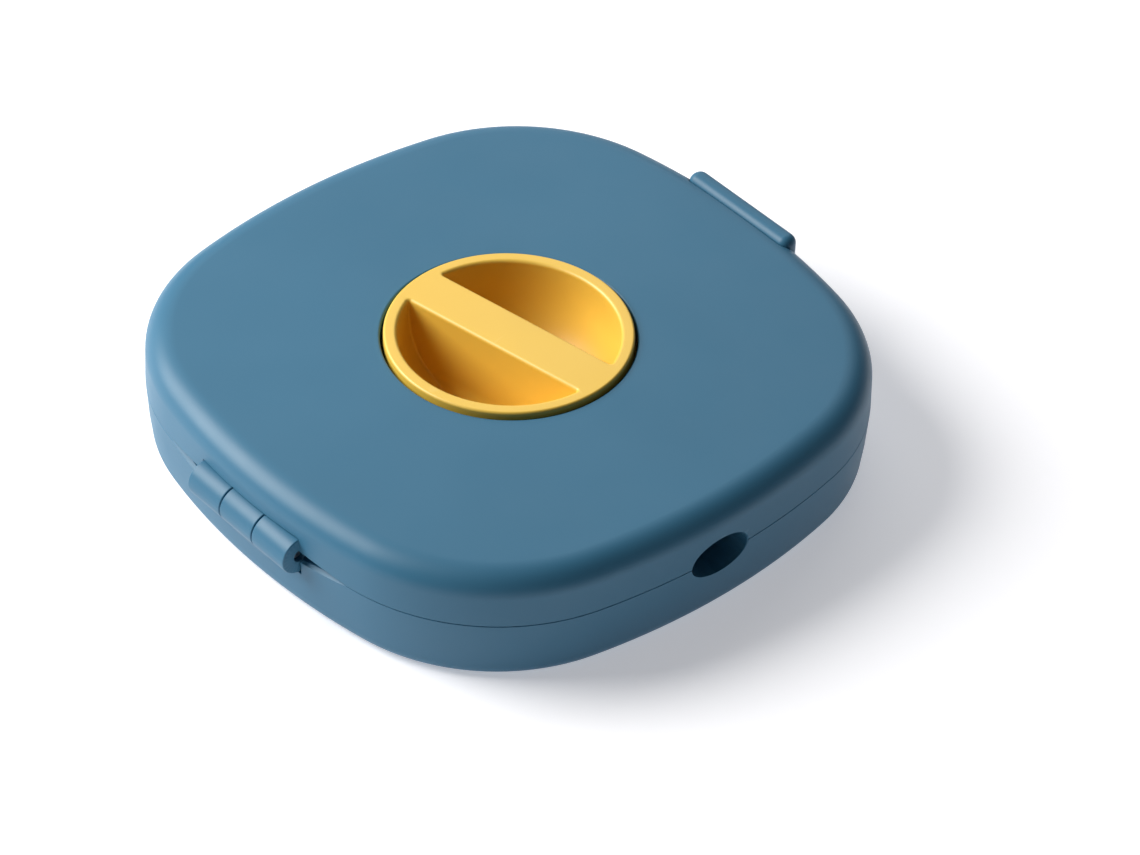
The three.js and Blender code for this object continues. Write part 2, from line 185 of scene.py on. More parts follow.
def arc(centre, radii, start, end, steps):
    """Points of an elliptical arc, angles in degrees."""
    angles = np.radians(np.linspace(start, end, steps + 1))
    return [(centre[0] + radii[0] * math.cos(a), centre[1] + radii[1] * math.sin(a)) for a in angles]


def lathe(name, profile, segments=128):
    """Turns a profile of (radius, height) points about Z. It closes on itself or on the axis."""
    ends_on_axis = profile[0][0] == 0
    vertices = []
    faces = []
    rows = profile[1:-1] if ends_on_axis else profile
    for radius, height in rows:
        for step in range(segments):
            angle = 2 * math.pi * step / segments
            vertices.append((radius * math.cos(angle), radius * math.sin(angle), height))
    bridges = len(rows) - 1 if ends_on_axis else len(rows)
    for row in range(bridges):
        below = row * segments
        above = (row + 1) % len(rows) * segments
        for step in range(segments):
            after = (step + 1) % segments
            faces.append((below + step, below + after, above + after, above + step))
    if ends_on_axis:
        for row, (_, height) in ((0, profile[0]), (len(rows) - 1, profile[-1])):
            vertices.append((0, 0, height))
            for step in range(segments):
                after = (step + 1) % segments
                faces.append((row * segments + step, row * segments + after, len(vertices) - 1))
    return piece_from(name, vertices, faces)


def block(name, low, high):
    """A box between two corners."""
    shape = bmesh.new()
    bmesh.ops.create_cube(shape, size=1)
    low, high = Vector(low), Vector(high)
    for vertex in shape.verts:
        for axis in range(3):
            vertex.co[axis] = (low[axis] if vertex.co[axis] < 0 else high[axis]) * MM
    mesh = bpy.data.meshes.new(name)
    shape.to_mesh(mesh)
    shape.free()
    piece = bpy.data.objects.new(name, mesh)
    bpy.context.scene.collection.objects.link(piece)
    return piece


def prism(name, outline, start, end, axes):
    """Extrudes an outline of (u, v) points from start to end along the third of three axes."""
    axis_u, axis_v, axis_w = (Vector(axis) for axis in axes)
    vertices = []
    for distance in (start, end):
        vertices += [axis_u * u + axis_v * v + axis_w * distance for u, v in outline]
    count = len(outline)
    faces = [tuple(range(count)), tuple(range(2 * count - 1, count - 1, -1))]
    for step in range(count):
        after = (step + 1) % count
        faces.append((step, after, count + after, count + step))
    return piece_from(name, vertices, faces)


def transformed(piece, matrix):
    piece.data.transform(matrix)
    return piece


def hinge_bar(name, radius, start, end, rounding=0.0, segments=72):
    """A round bar along Y on the hinge axis, with softly rounded ends."""
    length = end - start
    if rounding:
        lower = arc((radius - rounding, rounding), (rounding, rounding), -90, 0, 4)
        upper = arc((radius - rounding, length - rounding), (rounding, rounding), 0, 90, 4)
        profile = [(0, 0), *lower, *upper, (0, length)]
    else:
        profile = [(0, 0), (radius, 0), (radius, length), (0, length)]
    bar = lathe(name, profile, segments)
    upright_to_y = Matrix.Rotation(-math.pi / 2, 4, "X")
    place = Matrix.Translation(Vector((HINGE_X, start, SEAM)) * MM)
    return transformed(bar, place @ upright_to_y)


# ---- the rounded square ----
SIDE_STEPS, CORNER_STEPS = 20, 24
side_centre = SIDE_RADIUS - HALF
arc_gap = SIDE_RADIUS - CORNER_RADIUS
corner_centre = (math.sqrt(2 * arc_gap**2 - side_centre**2) - side_centre) / 2
side_angle = math.atan2(corner_centre, corner_centre + side_centre)


def outline_steps():
    """(centre, radius, direction) of each step round the outline, from the middle of the +X side."""
    steps = []
    for quarter in range(4):
        turn = Matrix.Rotation(quarter * math.pi / 2, 2)
        for step in range(SIDE_STEPS):
            angle = side_angle * (2 * step / SIDE_STEPS - 1)
            away = Vector((math.cos(angle), math.sin(angle)))
            steps.append((turn @ Vector((-side_centre, 0)), SIDE_RADIUS, turn @ away))
        for step in range(CORNER_STEPS):
            angle = side_angle + (math.pi / 2 - 2 * side_angle) * step / CORNER_STEPS
            away = Vector((math.cos(angle), math.sin(angle)))
            steps.append((turn @ Vector((corner_centre,) * 2), CORNER_RADIUS, turn @ away))
    return steps


OUTLINE = outline_steps()
ROUND_WITHIN, SQUARE_BEYOND = 20.0, 38.0


def ring(half_width, height):
    """One level of a shell: a circle near the middle, the rounded square near the wall."""
    share = min(max((half_width - ROUND_WITHIN) / (SQUARE_BEYOND - ROUND_WITHIN), 0), 1)
    points = []
    for centre, radius, away in OUTLINE:
        square = centre + away * (radius - HALF + max(half_width, SQUARE_BEYOND))
        if half_width < SQUARE_BEYOND:
            square = square * (half_width / SQUARE_BEYOND)
        circle = square.normalized() * half_width
        place = circle.lerp(square, share)
        points.append((place.x, place.y, height))
    return points


def moulding(name, profile):
    """Sweeps a closed profile of (half width, height) points round the rounded square."""
    count = len(OUTLINE)
    vertices = [point for half_width, height in profile for point in ring(half_width, height)]
    faces = []
    for row in range(len(profile)):
        below = row * count
        above = (row + 1) % len(profile) * count
        for step in range(count):
            after = (step + 1) % count
            faces.append((below + step, below + after, above + after, above + step))
    return piece_from(name, vertices, faces)


def flat_run(start, end, height, steps):
    """Points along a level stretch, without its ends."""
    return [(start + (end - start) * step / steps, height) for step in range(1, steps)]


def base_wall(z):
    return HALF - BASE_DRAFT * (SEAM - z)


def lid_wall(z):
    return HALF - LID_DRAFT * (z - SEAM)


def bow(y):
    """How far a side has fallen back from its middle at a distance along it."""
    return SIDE_RADIUS - math.sqrt(SIDE_RADIUS**2 - y**2)


# ---- cutters ----
def exit_bar(name, profile):
    """Turns a profile of (share of the exit's size, y) points into an oval bar on the exits' axis."""
    bar = lathe(name, [(share, -y) for share, y in profile], 96)
    upright_to_y = Matrix.Rotation(-math.pi / 2, 4, "X")
    stretch = Matrix.Diagonal((EXIT_WIDTH / 2, 1, EXIT_HEIGHT / 2, 1))
    place = Matrix.Translation((EXIT_X * MM, 0, SEAM * MM))
    return transformed(bar, place @ stretch @ upright_to_y)


def exit_cutter():
    """The two oval cable exits, with a soft edge where they meet the outside of the wall."""
    edge = 0.3
    face = HALF - bow(EXIT_X)
    flare = edge * 2 / EXIT_HEIGHT
    front = [(1 + flare, -face - 4)]
    for angle in np.linspace(0, math.pi / 2, 6):
        front.append((1 + flare * (1 - math.sin(angle)), edge * (1 - math.cos(angle)) - face))
    rear = [(share, -y) for share, y in reversed(front)]
    return exit_bar("exit_cutter", [(0, -face - 4), *front, *rear, (0, face + 4)])


def exit_lips(bottom, top):
    """A short oval collar behind each exit, which keeps a cable off the edge of the wall."""
    outer_share, length = 1.35, 4.4
    start, end = HALF - WALL / 2, HALF - WALL / 2 - length
    halves = []
    for side in (-1, 1):
        near, far = sorted((side * start, side * end))
        collar = [(0, near), (outer_share, near), (outer_share, far), (0, far)]
        halves.append(exit_bar("exit_lip", collar))
    lips = halves[0]
    carve(lips, halves[1], "UNION")
    carve(lips, block("half", (-20, -60, bottom), (20, 60, top)), "INTERSECT")
    return lips


def relief_cutter(extra=0):
    """The shallow V along the seam behind the hinge. Extra depth keeps two cuts from coinciding."""
    apex, mouth, slope = HALF - RELIEF_DEPTH - extra, HALF + 1, 0.8
    rise = (mouth - apex) * slope
    wedge = [(-apex, SEAM), (-mouth, SEAM + rise), (-mouth, SEAM - rise)]
    return prism("relief_cutter", wedge, -RELIEF_END, RELIEF_END, ALONG_Y)


def pin_slots():
    """Slots past both ends of the barrel, half in each shell, which taper away from it."""
    inside, length = -44.8, 4.4
    half_height, end_half_height = 0.7, 0.12
    start = BARREL_LENGTH / 2 + GAP - 0.03
    slots = []
    for side in (-1, 1):
        outline = [
            (side * start, SEAM - half_height),
            (side * (start + length), SEAM - end_half_height),
            (side * (start + length), SEAM + end_half_height),
            (side * start, SEAM + half_height),
        ]
        slots.append(prism("pin_slot", outline, -HALF - 1, inside, ALONG_X))
    carve(slots[0], slots[1], "UNION")
    return slots[0]


def hinge_backing(bottom, top):
    """Thickens the wall behind the hinge, so that the relief and the knuckles don't break through."""
    depth, end = 3.9, 21
    backing = block("backing", (-HALF, -end, bottom), (depth - HALF, end, top))
    inner, outer = 40, HALF - WALL / 2 - LID_DRAFT * HEIGHT
    tube = [(inner, bottom - 1), (outer, bottom - 1), (outer, top + 1), (inner, top + 1)]
    carve(backing, moulding("inside_the_wall", tube), "INTERSECT")
    carve(backing, relief_cutter(0.004))
    carve(backing, pin_slots())
    return backing


# ---- the two shells ----
def base_web(rim):
    """The web under the middle knuckle, which runs down to the wall in a soft bend."""
    foot = SEAM - HINGE_RADIUS - 2.2
    slope_start = math.radians(225)
    away = Vector((math.cos(slope_start), math.sin(slope_start)))
    top = Vector((HINGE_X, SEAM)) + away * HINGE_RADIUS
    wall = Vector((0.2 - base_wall(foot), foot))
    bend = Vector((wall.x - 0.25, (top.y + wall.y) / 2 - 0.2))
    slope = []
    for share in np.linspace(0, 1, 9):
        slope.append(tuple(top.lerp(bend, share).lerp(bend.lerp(wall, share), share)))
    inside = HINGE_X + HINGE_RADIUS
    web = [*slope, (inside, foot), (inside, rim), (HINGE_X, rim)]
    return prism("web", web, -MIDDLE, MIDDLE, ALONG_Y)


def make_base():
    rim = SEAM - SEAM_GAP / 2
    inner = HALF - WALL
    edge = 0.1
    profile = [
        (WELL_RADIUS + 0.3, 0),
        *flat_run(WELL_RADIUS + 0.3, base_wall(0) - BASE_ROUND, 0, 8),
        *arc((base_wall(0) - BASE_ROUND, BASE_ROUND), (BASE_ROUND, BASE_ROUND), -90, 0, 10),
        (base_wall(SEAM - 5.2), SEAM - 5.2),
        (base_wall(SEAM - RELIEF_REACH), SEAM - RELIEF_REACH),
        *arc((base_wall(rim) - edge, rim - edge), (edge, edge), 0, 90, 3),
        *arc((inner + edge, rim - edge), (edge, edge), 90, 180, 3),
        (inner - 0.1, SEAM * 0.6),
        *arc((inner - 0.4 - BASE_ROUND, WALL + BASE_ROUND), (BASE_ROUND, BASE_ROUND), 0, -90, 8),
        *flat_run(inner - 0.4 - BASE_ROUND, BOSS_RADIUS + 0.5, WALL, 10),
        (BOSS_RADIUS + 0.4, WALL),
        (BOSS_RADIUS, WALL + 0.4),
        *arc((BOSS_RADIUS - 0.2, BOSS_TOP - 0.2), (0.2, 0.2), 0, 90, 3),
        *arc((AXLE_RADIUS + GAP + 0.2, BOSS_TOP - 0.2), (0.2, 0.2), 90, 180, 3),
        (AXLE_RADIUS + GAP, WELL_DEPTH),
        (WELL_RADIUS - 0.2, WELL_DEPTH),
        (WELL_RADIUS, WELL_DEPTH - 0.2),
        *arc((WELL_RADIUS + 0.3, 0.3), (0.3, 0.3), 180, 250, 3),
    ]
    base = moulding("base", profile)
    carve(base, relief_cutter())
    carve(base, pin_slots())
    carve(base, hinge_backing(WALL / 2, rim - 0.02), "UNION")
    carve(base, notch_wall(rim - WALL, rim - 0.02, HALF - WALL + 0.3), "UNION")
    carve(base, exit_lips(0, rim), "UNION")
    carve(base, exit_cutter())
    for sign in (-1, 1):
        start, end = sorted((sign * (OUTER_START - GAP), sign * (OUTER_END + GAP)))
        carve(base, hinge_bar("clearance", RUNNING, start, end))
    reach = MIDDLE + KNUCKLE_REACH
    carve(base, hinge_bar("knuckle", HINGE_RADIUS, -reach, reach, 0.15), "UNION")
    carve(base, base_web(rim), "UNION")
    carve(base, hinge_bar("bore", PIN_BORE, -BORE_END, BORE_END, segments=48))
    return base


def make_lid():
    rim = SEAM + SEAM_GAP / 2
    inner = HALF - WALL
    ceiling = HEIGHT - WALL
    shoulder = HEIGHT - LID_ROUND_DOWN
    edge = 0.1
    flat = lid_wall(shoulder) - LID_ROUND_IN
    profile = [
        *arc((LID_HOLE_RADIUS + 0.2, ceiling + 0.2), (0.2, 0.2), 180, 270, 3),
        *flat_run(LID_HOLE_RADIUS + 0.2, inner - 3.2, ceiling, 12),
        *arc((inner - 3.2, ceiling - 2.6), (3, 2.6), 90, 0, 8),
        (inner - 0.1, (ceiling + rim) / 2),
        *arc((inner + edge, rim + edge), (edge, edge), 180, 270, 3),
        *arc((lid_wall(rim) - edge, rim + edge), (edge, edge), -90, 0, 3),
        (lid_wall(SEAM + RELIEF_REACH), SEAM + RELIEF_REACH),
        (lid_wall(SEAM + 3.9), SEAM + 3.9),
        *arc((flat, shoulder), (LID_ROUND_IN, LID_ROUND_DOWN), 0, 90, 18),
        *flat_run(flat, LID_HOLE_RADIUS + 0.4, HEIGHT, 12),
        *arc((LID_HOLE_RADIUS + 0.4, HEIGHT - 0.4), (0.4, 0.4), 90, 180, 5),
    ]
    lid = moulding("lid", profile)
    carve(lid, relief_cutter())
    carve(lid, pin_slots())
    carve(lid, hinge_backing(rim + 0.02, rim + 4.6), "UNION")
    carve(lid, notch_wall(rim + 0.02, ceiling - 0.9, HALF - WALL + 0.3), "UNION")
    carve(lid, notch_wall(rim + 0.03, ceiling + 0.3, NOTCH_INSIDE + 0.55), "UNION")
    carve(lid, exit_lips(rim, HEIGHT), "UNION")
    carve(lid, exit_cutter())
    carve(lid, notch_cutter(rim - 1, HEIGHT + 1))
    round_notch_edge(lid)
    carve(lid, catch_groove())
    for side in (-1, 1):
        add_lid_knuckle(lid, side)
    reach = OUTER_START - KNUCKLE_REACH
    carve(lid, hinge_bar("clearance", RUNNING, -reach, reach))
    carve(lid, hinge_bar("bore", PIN_BORE, -BORE_END, BORE_END, segments=48))
    return lid


def add_lid_knuckle(lid, side):
    """One outer knuckle, with its web and the crease where it meets the wall."""
    start, end = sorted((side * OUTER_START, side * OUTER_END))
    crease_gap, crease_depth, inset = 0.26, 0.75, 0.12
    crease = hinge_bar("crease", HINGE_RADIUS + crease_gap, start, end)
    outside = block("outside", (-HALF - 5, -30, SEAM), (-HALF + crease_depth, 30, HEIGHT))
    carve(crease, outside, "INTERSECT")
    carve(lid, crease)
    near, far = (start - KNUCKLE_REACH, end) if side > 0 else (start, end + KNUCKLE_REACH)
    carve(lid, hinge_bar("knuckle", HINGE_RADIUS, near, far, 0.2), "UNION")
    web_low = (-HALF + 1, start + inset, SEAM + 0.15)
    web_high = (HINGE_X + HINGE_RADIUS, end - inset, SEAM + HINGE_RADIUS)
    carve(lid, block("web", web_low, web_high), "UNION")


# ---- latch and its notch ----
def latch_outline(inset):
    """The latch's head seen from above, drawn in by an inset. A negative inset gives its notch."""
    radius = HEAD_CORNER - inset
    ends = (LATCH_LOW.y + HEAD_CORNER, LATCH_HIGH.y - HEAD_CORNER)
    sides = (HEAD_INNER + HEAD_CORNER, HEAD_OUTER - HEAD_CORNER)
    centres = [(sides[1], ends[0]), (sides[1], ends[1]), (sides[0], ends[1]), (sides[0], ends[0])]
    outline = []
    for quarter, centre in enumerate(centres):
        start = 90 * (quarter - 1)
        outline += arc(centre, (radius, radius), start, start + 90, 10)
    return outline


def latch_bar(name, section, inset):
    """A bar along the latch of an (x, z) section, set in from the latch's ends."""
    return prism(name, section, LATCH_LOW.y + inset, LATCH_HIGH.y - inset, ALONG_Y)


def make_latch():
    """The snap tongue, whose rounded head curls over the edge of the lid in a notch."""
    low, high = LATCH_LOW.z, LATCH_HIGH.z
    inner, outer, lip = HALF + GAP, HALF + GAP + 1.3, LATCH_HIGH.x
    nose_top, nose_inside = CATCH_HIGH - 0.2, NOTCH_INSIDE + 0.08
    lip_top = HEAD_BOTTOM - 1.9
    rows = [(0, HEAD_BOTTOM - 2), (0, HEAD_BOTTOM)]
    for angle in np.radians(np.linspace(0, 90, 13)):
        rows.append((HEAD_ROUND * (1 - math.cos(angle)), high - HEAD_ROUND * (1 - math.sin(angle))))
    vertices = []
    faces = []
    for inset, height in rows:
        vertices += [(x, y, height) for x, y in latch_outline(inset)]
    count = len(latch_outline(0))
    for row in range(len(rows) - 1):
        for step in range(count):
            after = (step + 1) % count
            below, above = row * count, (row + 1) * count
            faces.append((below + step, below + after, above + after, above + step))
    faces.append(tuple(range(count - 1, -1, -1)))
    faces.append(tuple(range(len(vertices) - count, len(vertices))))
    latch = piece_from("latch", vertices, faces)
    undercut = [
        (HEAD_INNER - 1, HEAD_BOTTOM),
        (HEAD_INNER, HEAD_BOTTOM),
        (inner, HEAD_BOTTOM - 2),
        (inner, HEAD_BOTTOM - 3),
        (HEAD_INNER - 1, HEAD_BOTTOM - 3),
    ]
    carve(latch, latch_bar("undercut", undercut, -1))
    root = HALF - 0.05
    tongue = [
        (root, low),
        (outer - 0.3, low),
        (outer, low + 0.3),
        (outer, lip_top - 1.4),
        *arc((lip - 0.4, lip_top - 0.4), (0.4, 0.4), -60, 60, 6),
        (HEAD_OUTER - 0.02, HEAD_BOTTOM + 0.3),
        (inner - 0.8, HEAD_BOTTOM + 0.3),
        (inner - 0.8, HEAD_BOTTOM - 1),
        (inner, HEAD_BOTTOM - 1.6),
        (inner, SEAM - 3),
        (root, low + 1.8),
    ]
    tongue = latch_bar("tongue", tongue, 1.2)
    soften(tongue, 0.3, 3)
    carve(latch, tongue, "UNION")
    nose = [
        (HEAD_INNER + 0.3, CATCH_LOW),
        (HEAD_INNER + 0.3, nose_top),
        (HEAD_INNER, nose_top),
        (nose_inside, nose_top - 0.4),
        (nose_inside, CATCH_LOW + 0.4),
        (HEAD_INNER, CATCH_LOW),
    ]
    carve(latch, latch_bar("nose", nose, 2.9), "UNION")
    return latch


def notch_wall(low, high, outside):
    """Closes the case behind the notch: a wall in the lid, and a ledge in the base below it."""
    reach = GAP + WALL
    return block(
        "notch_wall",
        (NOTCH_INSIDE - WALL, LATCH_LOW.y - reach, low),
        (outside, LATCH_HIGH.y + reach, high),
    )


def notch_cutter(bottom, top):
    """The latch's notch: the head's outline with a gap round it, open to the outside."""
    outline = latch_outline(-GAP)
    middle = len(outline) // 2
    outside = HALF + 5
    outline = [(outside, outline[0][1]), (outside, outline[middle - 1][1]), *outline[middle:]]
    return prism("notch", outline, bottom, top, ALONG_Z)


def catch_groove():
    """The groove in the notch's wall that the latch's nose catches in."""
    low = (NOTCH_INSIDE - 0.5, LATCH_Y - CATCH_LENGTH / 2, CATCH_LOW)
    high = (NOTCH_INSIDE + 1, LATCH_Y + CATCH_LENGTH / 2, CATCH_HIGH)
    return block("groove", low, high)


def round_notch_edge(lid):
    """Softens the edge where the notch meets the outside of the lid."""
    shape = bmesh.new()
    shape.from_mesh(lid.data)
    shape.normal_update()
    reach, shoulder = 12.5, 17
    edges = []
    for edge in shape.edges:
        middle = (edge.verts[0].co + edge.verts[1].co) / 2 / MM
        past_end = not LATCH_LOW.y < middle.y < LATCH_HIGH.y
        near = middle.x > NOTCH_INSIDE - 0.1 and abs(middle.y - LATCH_Y) < reach
        if not near or len(edge.link_faces) != 2 or (middle.z < shoulder and not past_end):
            continue
        rises = sorted(face.normal.z for face in edge.link_faces)
        if abs(rises[0]) < 0.1 and rises[1] > 0.2 and edge.calc_face_angle(0) > 0.7:
            edges.append(edge)
    bmesh.ops.bevel(
        shape, geom=edges, offset=0.16 * MM, segments=3, profile=0.5, affect="EDGES", clamp_overlap=True
    )
    shape.to_mesh(lid.data)
    shape.free()


# ---- reel ----
def rounded_d(radius, flat, corner, grow):
    """A D: an arc about the origin closed by a flat side at x = flat, with rounded corners."""
    radius, flat, corner = radius + grow, flat - grow, max(corner + grow, 0.02)
    corner = min(corner, (radius - flat) * 0.48)
    corner_x = flat + corner
    corner_y = math.sqrt(max((radius - corner) ** 2 - corner_x**2, 0))
    reach = math.degrees(math.atan2(corner_y, corner_x))
    points = arc((0, 0), (radius, radius), -reach, reach, 48)
    points += arc((corner_x, corner_y), (corner, corner), reach, 180, 12)[1:]
    points += [(flat, corner_y * (1 - 2 * step / 24)) for step in range(1, 24)]
    points += arc((corner_x, -corner_y), (corner, corner), 180, 360 - reach, 12)[:-1]
    return points


def pocket_cutter(side):
    """One finger pocket, lofted from its round bottom up to a softly rounded mouth."""
    mouth, bottom_round, power = 0.55, 3.2, 3.0
    radius_at_top = KNOB_RADIUS - RIM - mouth / 3
    side_of_bar = BAR_WIDTH / 2 + mouth / 3
    levels = []
    for angle in np.linspace(0, math.pi / 2, 26):
        depth = POCKET_DEPTH * math.cos(angle) ** (2 / power)
        radius = radius_at_top * math.sin(angle) ** (2 / power)
        over = max(depth - (POCKET_DEPTH - bottom_round), 0) / bottom_round
        flat = side_of_bar + bottom_round * (1 - math.sqrt(max(1 - over**2, 0)))
        if radius > flat + 0.6 and depth > mouth:
            levels.append((depth, radius, flat, 0))
    for step in range(9):
        turn = step / 8 * math.pi / 2
        depth = mouth * (1 - math.sin(turn))
        levels.append((depth, radius_at_top, side_of_bar, mouth * (1 - math.cos(turn))))
    levels.append((-1.0, radius_at_top, side_of_bar, mouth))
    vertices = []
    for depth, radius, flat, grow in levels:
        height = KNOB_TOP - depth + (0.004 if depth == 0 else 0)
        vertices += [(side * x, side * y, height) for x, y in rounded_d(radius, flat, 0.35, grow)]
    count = len(vertices) // len(levels)
    faces = [tuple(range(count)), tuple(range(len(vertices) - 1, len(vertices) - count - 1, -1))]
    for row in range(len(levels) - 1):
        for step in range(count):
            after = (step + 1) % count
            low, high = row * count, (row + 1) * count
            faces.append((low + step, low + after, high + after, high + step))
    return piece_from("pocket", vertices, faces)


def drill(piece, radius, top, offset, segments):
    """Cuts an upright hole from below up to a height, at a distance along Y."""
    bore = lathe("bore", [(0, 0), (radius, 0), (radius, top), (0, top)], segments)
    carve(piece, transformed(bore, Matrix.Translation((0, offset * MM, 0))))


def make_drum():
    """The reel's drum with the knob: finger pockets above, pilot holes and cable notches below."""
    edge = 0.4
    stub_top, axle_pilot_top, screw_pilot_top = 5.4, 10.3, 8.3
    notch_inside, notch_outside, notch_half_width, notch_top = 12.8, 24, 1.8, 12.4
    profile = [
        (0, DRUM_FOOT),
        *arc((KNOB_RADIUS - 0.2, DRUM_FOOT + 0.2), (0.2, 0.2), -90, 0, 3),
        *arc((KNOB_RADIUS - edge, KNOB_TOP - edge), (edge, edge), 0, 90, 6),
        (0, KNOB_TOP),
    ]
    drum = lathe("knob_and_drum", profile, 192)
    for side in (-1, 1):
        carve(drum, pocket_cutter(side))
    stub = [(0, WELL_DEPTH), (AXLE_RADIUS, WELL_DEPTH), (AXLE_RADIUS, stub_top), (0, stub_top)]
    carve(drum, lathe("stub", stub, 64), "UNION")
    drill(drum, PILOT_RADIUS, axle_pilot_top, 0, 32)
    for side in (-1, 1):
        near, far = sorted((side * notch_inside, side * notch_outside))
        carve(drum, block("notch", (-notch_half_width, near, 0), (notch_half_width, far, notch_top)))
        drill(drum, PILOT_RADIUS, screw_pilot_top, side * SCREW_OFFSET, 32)
    return transformed(drum, Matrix.Rotation(REST_ANGLE, 4, "Z"))


def make_flange():
    """The disc under the drum, with two countersunk screw holes."""
    edge = 0.45
    middle = (FLANGE_LOW + FLANGE_HIGH) / 2
    half = (FLANGE_HIGH - FLANGE_LOW) / 2
    hole = AXLE_RADIUS + GAP
    profile = [
        (hole, FLANGE_LOW),
        (FLANGE_RADIUS - edge, FLANGE_LOW),
        *arc((FLANGE_RADIUS - edge, middle), (edge, half), -90, 90, 10),
        (hole, FLANGE_HIGH),
    ]
    flange = lathe("flange", profile, 192)
    for side in (-1, 1):
        for radius, top in ((PILOT_RADIUS, 9), (2.05, FLANGE_LOW + 0.5)):
            drill(flange, radius, top, side * SCREW_OFFSET, 40)
    return transformed(flange, Matrix.Rotation(REST_ANGLE, 4, "Z"))


# ---- metal pieces ----
def make_screw(node, head_radius, head_height, offset):
    """A pan-head screw that points up, with a cross recess and a turned thread."""
    low, high = cad(node)
    shank, pitch, thread = 0.82, 0.7, 0.18
    bottom, top = low.z, high.z
    collar = bottom + head_height
    profile = [(0, bottom)]
    profile += arc((0, bottom + 0.5), (head_radius, 0.5), -90, 0, 10)[1:]
    profile += [(head_radius, collar - 0.1), (head_radius - 0.1, collar), (shank, collar)]
    height = collar + pitch
    while height < top - 1.2:
        profile += [(shank, height - pitch * 0.3), (shank + thread, height), (shank, height + pitch * 0.3)]
        height += pitch
    profile += [(shank, top - 0.9), (0.15, top), (0, top)]
    screw = lathe(node + "_look", profile, 48)
    reach, slot, deep = head_radius * 0.62, 0.3, bottom + head_height * 0.65
    carve(screw, block("slot", (-reach, -slot, bottom - 1), (reach, slot, deep)))
    carve(screw, block("slot", (-slot, -reach, bottom - 1), (slot, reach, deep)))
    place = Matrix.Rotation(REST_ANGLE, 4, "Z") @ Matrix.Translation((0, offset * MM, 0))
    return transformed(screw, place)


def make_washer():
    low, high = cad("axle_washer")
    inner, outer, edge = PILOT_RADIUS, high.x, 0.1
    profile = [
        (inner, low.z),
        (outer - edge, low.z),
        (outer, low.z + edge),
        (outer, high.z - edge),
        (outer - edge, high.z),
        (inner, high.z),
    ]
    return lathe("washer", profile, 96)


def make_pin():
    radius = cad("hinge_pin")[1].x - HINGE_X
    return hinge_bar("pin", radius, -PIN_END, PIN_END, 0.22, 48)


# ---- materials ----
class Nodes:
    """A small helper for building node trees."""

    def __init__(self, name):
        self.material = bpy.data.materials.new(name)
        self.material.use_nodes = True
        self.tree = self.material.node_tree
        self.shader = self.tree.nodes["Principled BSDF"]
        self.place = self.add("TexCoord").outputs["Object"]

    def add(self, kind, **values):
        node = self.tree.nodes.new("ShaderNode" + kind)
        for key, value in values.items():
            setattr(node, key, value)
        return node

    def link(self, source, target):
        self.tree.links.new(source, target)

    def noise(self, scale, detail, stretch=None):
        node = self.add("TexNoise")
        node.inputs["Scale"].default_value = scale
        node.inputs["Detail"].default_value = detail
        place = self.place
        if stretch:
            mapping = self.add("Mapping")
            mapping.inputs["Scale"].default_value = stretch
            self.link(place, mapping.inputs["Vector"])
            place = mapping.outputs["Vector"]
        self.link(place, node.inputs["Vector"])
        return node.outputs["Fac"]

    def spread(self, source, low, high, from_low=0.3, from_high=0.7):
        """Maps a noise value to a range."""
        node = self.add("MapRange")
        for key, value in (
            ("From Min", from_low),
            ("From Max", from_high),
            ("To Min", low),
            ("To Max", high),
        ):
            node.inputs[key].default_value = value
        self.link(source, node.inputs["Value"])
        return node.outputs["Result"]

    def blend(self, amount, first, second):
        node = self.add("Mix", data_type="RGBA")
        self.link(amount, node.inputs["Factor"])
        for socket, colour in ((node.inputs[6], first), (node.inputs[7], second)):
            if isinstance(colour, tuple):
                socket.default_value = (*colour, 1)
            else:
                self.link(colour, socket)
        return node.outputs[2]

    def bump(self, height, distance, strength, under=None):
        node = self.add("Bump")
        node.inputs["Distance"].default_value = distance
        node.inputs["Strength"].default_value = strength
        self.link(height, node.inputs["Height"])
        if under:
            self.link(under, node.inputs["Normal"])
        return node.outputs["Normal"]


def moulded_plastic(name, colour, shaded, edge_highlight, roughness, specular):
    """Satin moulded plastic: a fine spark-eroded grain, slow colour drift, and a painted highlight that
    lightens the sharp edges.
    """
    nodes = Nodes(name)
    drift = nodes.spread(nodes.noise(38, 2), 0, 1)
    body = nodes.blend(drift, colour, shaded)
    # Sharp convex edges, found by pointiness, are blended toward a lighter colour: a painted highlight
    # along the edges.
    edges = nodes.add("NewGeometry").outputs["Pointiness"]
    edge_highlight_share = nodes.spread(edges, 0, 0.35, 0.54, 0.62)
    nodes.link(nodes.blend(edge_highlight_share, body, edge_highlight), nodes.shader.inputs["Base Color"])
    patches = nodes.spread(nodes.noise(90, 4), roughness - 0.035, roughness + 0.035)
    nodes.link(patches, nodes.shader.inputs["Roughness"])
    nodes.shader.inputs["Specular IOR Level"].default_value = specular
    grain = nodes.bump(nodes.noise(5200, 2), 0.000012, 0.55)
    flow = nodes.bump(nodes.noise(120, 1), 0.00006, 0.35, grain)
    nodes.link(flow, nodes.shader.inputs["Normal"])
    return nodes.material


def drawn_steel():
    """Bright wire and screw steel with fine drawing marks and a little dull oxide."""
    nodes = Nodes("drawn_steel")
    bright, oxide = (0.62, 0.63, 0.65), (0.42, 0.42, 0.43)
    marks = nodes.noise(900, 4, stretch=(1, 0.08, 1))
    dull = nodes.spread(nodes.noise(700, 5), 0, 1, 0.45, 0.75)
    nodes.link(nodes.blend(dull, bright, oxide), nodes.shader.inputs["Base Color"])
    nodes.shader.inputs["Metallic"].default_value = 1.0
    nodes.link(nodes.spread(marks, 0.22, 0.42), nodes.shader.inputs["Roughness"])
    nodes.link(nodes.bump(marks, 0.00001, 0.6), nodes.shader.inputs["Normal"])
    return nodes.material


